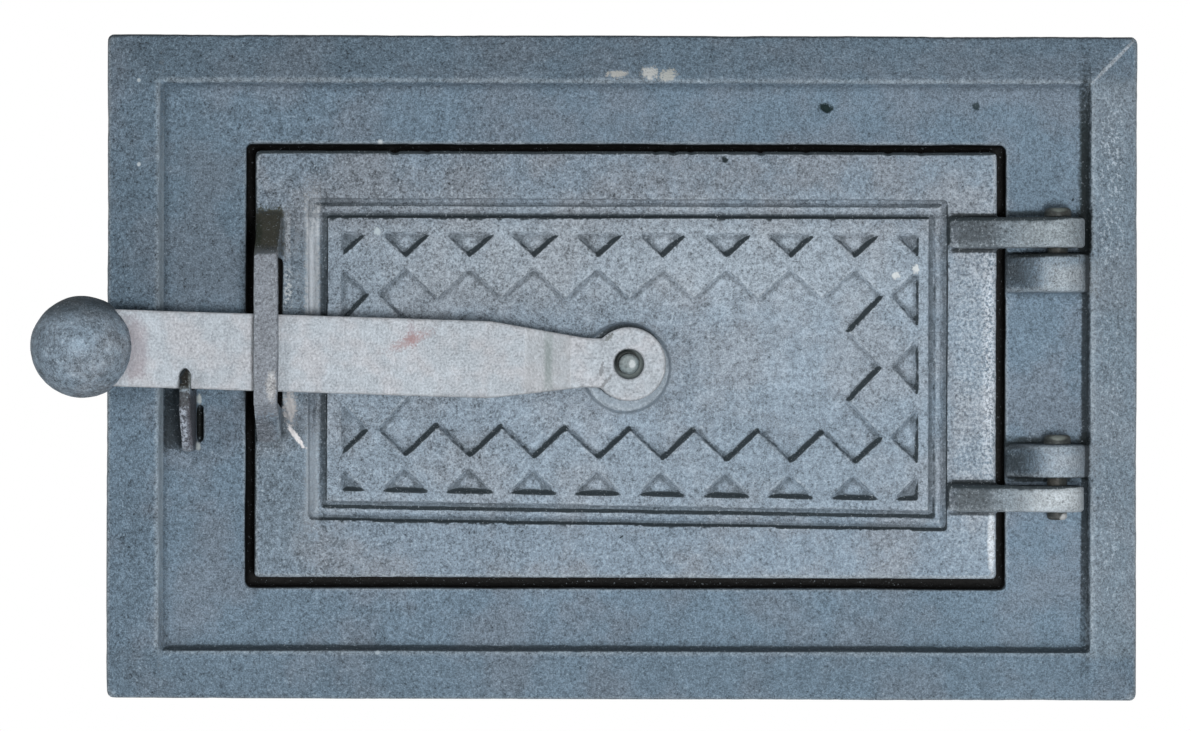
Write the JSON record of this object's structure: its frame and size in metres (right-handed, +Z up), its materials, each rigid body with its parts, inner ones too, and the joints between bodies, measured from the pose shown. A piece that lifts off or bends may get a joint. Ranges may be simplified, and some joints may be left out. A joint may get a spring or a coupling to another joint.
{
  "type": "oven door",
  "caption": "Cast iron oven door with a lozenge border, hung on two pins in a wall frame, with a drop bar latch and a ball knob.",
  "frame": {"origin": "middle of the flange's outline, in the plane of its back face, where it meets the wall", "axes": "+Z up, +Y into the wall, the front of the door faces -Y, hinges at +X and ball knob at -X"},
  "size_m": [0.2879, 0.0593, 0.174],
  "materials": {
    "frame_iron": "bare sand-cast iron, blue grey",
    "door_iron": "bare sand-cast iron, bright on its ridges",
    "knob_iron": "bare cast iron, rough",
    "bar_steel": "rolled flat bar, dull silver with a rust spot",
    "pin_steel": "drawn wire, darkened",
    "rivet_steel": "peened end, dull"
  },
  "bodies": {
    "frame": {"frame": "frame_iron", "hinge_pin_upper": "pin_steel", "hinge_pin_lower": "pin_steel"},
    "door": {"door": "door_iron", "pivot_rivet": "rivet_steel", "pivot_washer": "pin_steel"},
    "lever": {"latch_lever": "bar_steel", "ball_knob": "knob_iron"}
  },
  "joints": [
    {"name": "door_hinge", "type": "hinge", "parent": "frame", "child": "door", "pos_m": [0.1132, -0.011, 0], "axis": [0, 0, 1], "range_deg": [0, 150]},
    {"name": "lever_pivot", "type": "hinge", "parent": "door", "child": "lever", "pos_m": [0.0018, -0.0126, 0.0009], "axis": [0, 1, 0], "range_deg": [0, 8]}
  ]
}
